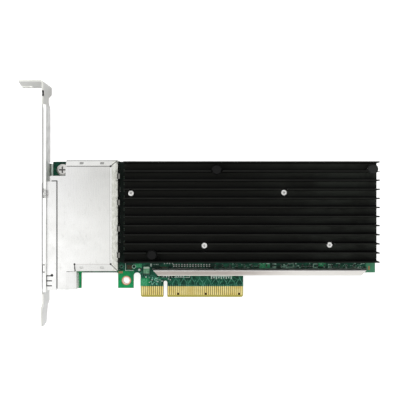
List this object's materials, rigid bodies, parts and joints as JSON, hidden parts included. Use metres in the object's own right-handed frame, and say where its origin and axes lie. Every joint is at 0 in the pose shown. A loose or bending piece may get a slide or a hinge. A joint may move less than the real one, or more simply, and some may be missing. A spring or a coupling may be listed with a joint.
{
  "type": "network interface card",
  "caption": "Low-profile network card with a shielded block of modular jacks behind a full-height bracket, a black finned heat sink and a gold edge connector.",
  "frame": {"origin": "middle of the key notch at the tips of the edge contacts, on the board's mid-plane", "axes": "+X along the card away from the bracket, +Y from the edge connector to the top edge, +Z out of the component side"},
  "size_m": [0.1809, 0.1211, 0.0216],
  "materials": {
    "laminate": "green solder mask over glass-fibre laminate",
    "gold": "gold plating",
    "copper": "bare copper ring",
    "bracket_steel": "nickel-plated folded sheet steel",
    "screw_steel": "nickel-plated steel",
    "tin_plate": "bright folded tin plate",
    "jack_plastic": "black moulded thermoplastic",
    "lens_plastic": "clear moulded lens",
    "potting": "potting compound",
    "solder_tin": "tinned wire",
    "black_anodised": "black anodised extrusion",
    "stud_metal": "plain turned metal",
    "nylon": "black nylon",
    "spring_steel": "spring wire",
    "pad_rubber": "soft thermal pad",
    "chip_mould": "moulded chip package",
    "bar_metal": "satin folded strip",
    "capacitor_body": "fired capacitor body with tinned ends",
    "resistor_body": "coated resistor body with tinned ends",
    "ferrite": "pressed ferrite",
    "can_metal": "plated lid"
  },
  "bodies": {
    "root": {"circuit_board": "laminate", "front_edge_contacts": "gold", "back_edge_contacts": "gold", "ear_hole_rings": "copper", "mounting_bracket": "bracket_steel", "bracket_screws": "screw_steel", "jack_shield": "tin_plate", "jack_front_collar": "tin_plate", "jack_housing": "jack_plastic", "jack_contacts": "gold", "jack_status_lenses": "lens_plastic", "jack_magnetics": "potting", "jack_solder_pins": "solder_tin", "heat_sink": "black_anodised", "heat_sink_studs": "stud_metal", "push_pins": "nylon", "push_pin_springs": "spring_steel", "thermal_pads": "pad_rubber", "phy_chip": "chip_mould", "controller_chip": "chip_mould", "stiffener_bar": "bar_metal", "chip_capacitors": "capacitor_body", "chip_resistors": "resistor_body", "power_inductors": "ferrite", "voltage_regulators": "chip_mould", "clock_crystal": "can_metal", "flash_memory": "chip_mould", "back_capacitors": "capacitor_body"}
  },
  "joints": []
}
